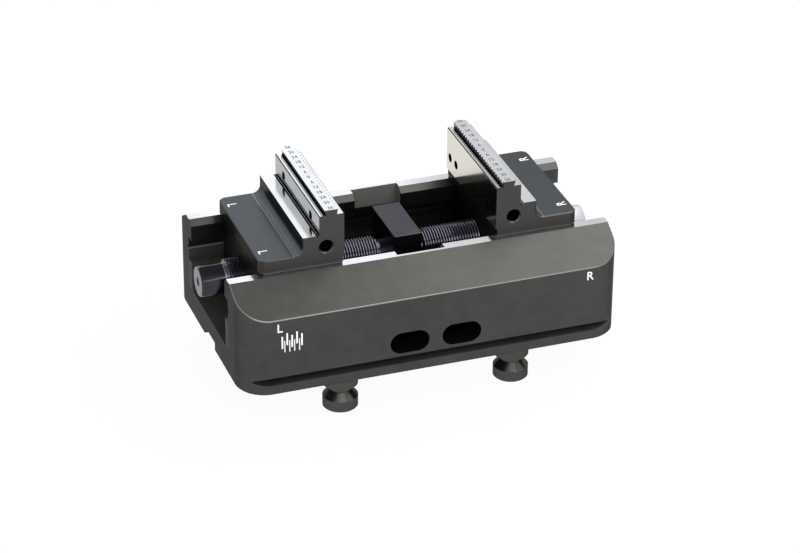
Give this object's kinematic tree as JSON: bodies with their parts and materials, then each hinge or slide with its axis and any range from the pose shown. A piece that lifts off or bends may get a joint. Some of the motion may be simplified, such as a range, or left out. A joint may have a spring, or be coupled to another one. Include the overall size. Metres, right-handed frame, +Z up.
{
  "type": "self centering vise",
  "caption": "Low self-centring machine vise: two toothed jaws driven together by a spindle with opposed threads, in a rounded steel base on pull studs.",
  "frame": {"origin": "centre of the base's flat underside, above the studs", "axes": "+X along the spindle towards the right jaw, +Y to the rear across the jaws, +Z up"},
  "size_m": [0.2165, 0.125, 0.1106],
  "materials": {
    "base_steel": "dark grey coated, satin; rails ground bright",
    "jaw_steel": "dark grey coated, satin; gripping face and ridge ground bright",
    "spindle_steel": "black oxide, semi-gloss",
    "block_steel": "black oxide, satin",
    "stud_steel": "hardened and ground, dark, semi-gloss",
    "screw_steel": "black oxide, satin"
  },
  "bodies": {
    "base": {"base_body": "base_steel", "bearing_block_lower": "block_steel", "bearing_block_upper": "block_steel", "block_screw_front": "screw_steel", "block_screw_rear": "screw_steel", "pull_stud_front_left": "stud_steel", "pull_stud_front_right": "stud_steel", "pull_stud_rear_left": "stud_steel", "pull_stud_rear_right": "stud_steel", "stud_screw_front_left": "screw_steel", "stud_screw_front_right": "screw_steel", "stud_screw_rear_left": "screw_steel", "stud_screw_rear_right": "screw_steel"},
    "spindle": {"spindle": "spindle_steel"},
    "jaw_right": {"jaw_right": "jaw_steel"},
    "jaw_left": {"jaw_left": "jaw_steel"}
  },
  "joints": [
    {"name": "spindle_turn", "type": "hinge", "parent": "base", "child": "spindle", "pos_m": [0, 0, 0.0377], "axis": [1, 0, 0], "range_deg": [-3600, 8640]},
    {"name": "jaw_right_slide", "type": "slide", "parent": "base", "child": "jaw_right", "axis": [-1, 0, 0], "range_m": [-0.015, 0.036]},
    {"name": "jaw_left_slide", "type": "slide", "parent": "base", "child": "jaw_left", "axis": [1, 0, 0], "range_m": [-0.015, 0.036]}
  ],
  "couplings": [
    {"joint": "spindle_turn", "follows": "jaw_right_slide", "rad_per_m": 4188.8},
    {"joint": "jaw_left_slide", "follows": "jaw_right_slide", "ratio": 1}
  ]
}
